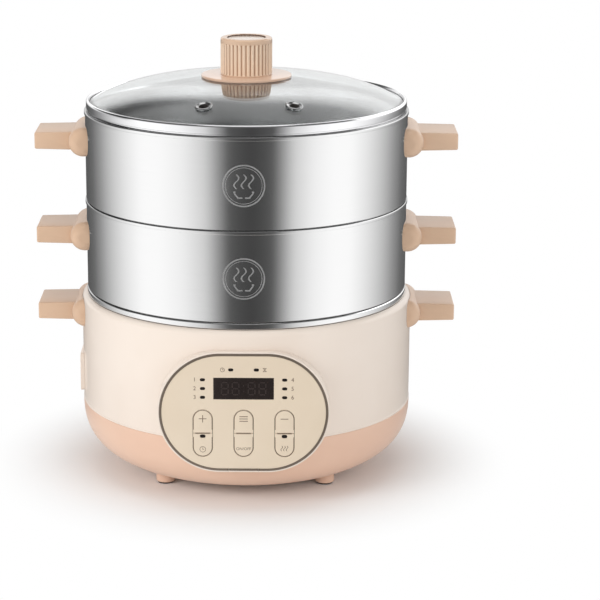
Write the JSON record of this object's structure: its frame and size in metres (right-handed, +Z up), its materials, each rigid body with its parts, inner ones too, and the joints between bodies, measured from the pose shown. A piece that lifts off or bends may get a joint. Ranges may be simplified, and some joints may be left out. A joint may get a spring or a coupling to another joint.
{
  "type": "electric food steamer",
  "caption": "Free-standing electric steamer: heated base with a fixed pot and key panel, stacked lift-off steel tiers with perforated plates, and a domed glass lid with a fluted knob.",
  "frame": {"origin": "on the surface that the feet stand on, on the axis of the pot", "axes": "+Z up along the pot axis, -Y out of the control panel, +X to the right as seen from the front"},
  "size_m": [0.365, 0.2955, 0.3805],
  "materials": {
    "pink_housing": "glossy moulded",
    "cream_housing": "glossy moulded",
    "beige_handle": "satin moulded",
    "taupe_trim": "satin",
    "fascia_beige": "fine matt print film",
    "window_smoke": "smoked and polished",
    "lens_black": "smoked and polished",
    "sheet_steel": "fine satin",
    "polished_steel": "polished",
    "shield_steel": "zinc plated",
    "screw_steel": "zinc plated",
    "element_steel": "heat tinted",
    "cast_aluminium": "cast",
    "clear_glass": "clear tempered",
    "foot_rubber": "matt",
    "seal_rubber": "matt",
    "gasket_silicone": "translucent",
    "dark_plastic": "moulded",
    "white_plastic": "moulded",
    "relay_blue": "moulded",
    "circuit_board": "lacquered",
    "winding": "taped winding",
    "lead_jacket": "flexible jacket",
    "pin_brass": "plated"
  },
  "bodies": {
    "base": {"lower_housing": "pink_housing", "upper_housing": "cream_housing", "housing_screws": "screw_steel", "foot_pads": "foot_rubber", "cooking_pot": "sheet_steel", "pot_seal": "seal_rubber", "heater_plate": "cast_aluminium", "heating_element": "element_steel", "heater_spacers": "element_steel", "heat_shield": "shield_steel", "shield_screws": "screw_steel", "temperature_sensor": "cast_aluminium", "thermal_cutout": "dark_plastic", "power_board": "circuit_board", "transformer": "winding", "relay": "relay_blue", "capacitor": "dark_plastic", "terminal_block": "white_plastic", "board_screws": "screw_steel", "wiring": "lead_jacket", "panel_frame": "cream_housing", "panel_ring": "taupe_trim", "panel_fascia": "fascia_beige", "display_window": "window_smoke", "display_module": "dark_plastic", "indicator_lenses": "lens_black", "indicator_lamps": "white_plastic", "control_board": "circuit_board", "control_board_screws": "screw_steel", "tact_switches": "dark_plastic", "base_handle_left": "beige_handle", "base_handle_right": "beige_handle", "base_handle_screws": "screw_steel", "power_inlet": "cream_housing", "inlet_pins": "pin_brass", "inlet_screws": "screw_steel"},
    "lower_tier": {"lower_tier_shell": "sheet_steel", "lower_handle_left": "beige_handle", "lower_handle_right": "beige_handle", "lower_handle_screws": "screw_steel"},
    "lower_plate": {"lower_steam_plate": "sheet_steel"},
    "upper_tier": {"upper_tier_shell": "sheet_steel", "upper_handle_left": "beige_handle", "upper_handle_right": "beige_handle", "upper_handle_screws": "screw_steel"},
    "upper_plate": {"upper_steam_plate": "sheet_steel"},
    "lid": {"lid_glass": "clear_glass", "lid_rim": "polished_steel", "vent_eyelets": "polished_steel", "lid_flange": "beige_handle", "lid_knob": "beige_handle", "knob_cap": "beige_handle", "knob_screw": "screw_steel", "knob_gasket": "gasket_silicone"},
    "key_plus_body": {"key_plus": "fascia_beige"},
    "key_menu_body": {"key_menu": "fascia_beige"},
    "key_minus_body": {"key_minus": "fascia_beige"},
    "key_preset_body": {"key_preset": "fascia_beige"},
    "key_power_body": {"key_power": "fascia_beige"},
    "key_warm_body": {"key_warm": "fascia_beige"}
  },
  "joints": [
    {"name": "lower_tier_lift", "type": "slide", "parent": "base", "child": "lower_tier", "axis": [0, 0, 1], "range_m": [0, 0.12]},
    {"name": "lower_plate_lift", "type": "slide", "parent": "lower_tier", "child": "lower_plate", "axis": [0, 0, 1], "range_m": [0, 0.06]},
    {"name": "upper_tier_lift", "type": "slide", "parent": "lower_tier", "child": "upper_tier", "axis": [0, 0, 1], "range_m": [0, 0.12]},
    {"name": "upper_plate_lift", "type": "slide", "parent": "upper_tier", "child": "upper_plate", "axis": [0, 0, 1], "range_m": [0, 0.06]},
    {"name": "lid_lift", "type": "slide", "parent": "upper_tier", "child": "lid", "axis": [0, 0, 1], "range_m": [0, 0.12]},
    {"name": "key_plus_press", "type": "slide", "parent": "base", "child": "key_plus_body", "axis": [0, 1, 0], "range_m": [0, 0.0006], "stiffness_N_per_m": 1500, "springref_m": -0.0002},
    {"name": "key_menu_press", "type": "slide", "parent": "base", "child": "key_menu_body", "axis": [0, 1, 0], "range_m": [0, 0.0006], "stiffness_N_per_m": 1500, "springref_m": -0.0002},
    {"name": "key_minus_press", "type": "slide", "parent": "base", "child": "key_minus_body", "axis": [0, 1, 0], "range_m": [0, 0.0006], "stiffness_N_per_m": 1500, "springref_m": -0.0002},
    {"name": "key_preset_press", "type": "slide", "parent": "base", "child": "key_preset_body", "axis": [0, 1, 0], "range_m": [0, 0.0006], "stiffness_N_per_m": 1500, "springref_m": -0.0002},
    {"name": "key_power_press", "type": "slide", "parent": "base", "child": "key_power_body", "axis": [0, 1, 0], "range_m": [0, 0.0006], "stiffness_N_per_m": 1500, "springref_m": -0.0002},
    {"name": "key_warm_press", "type": "slide", "parent": "base", "child": "key_warm_body", "axis": [0, 1, 0], "range_m": [0, 0.0006], "stiffness_N_per_m": 1500, "springref_m": -0.0002}
  ]
}
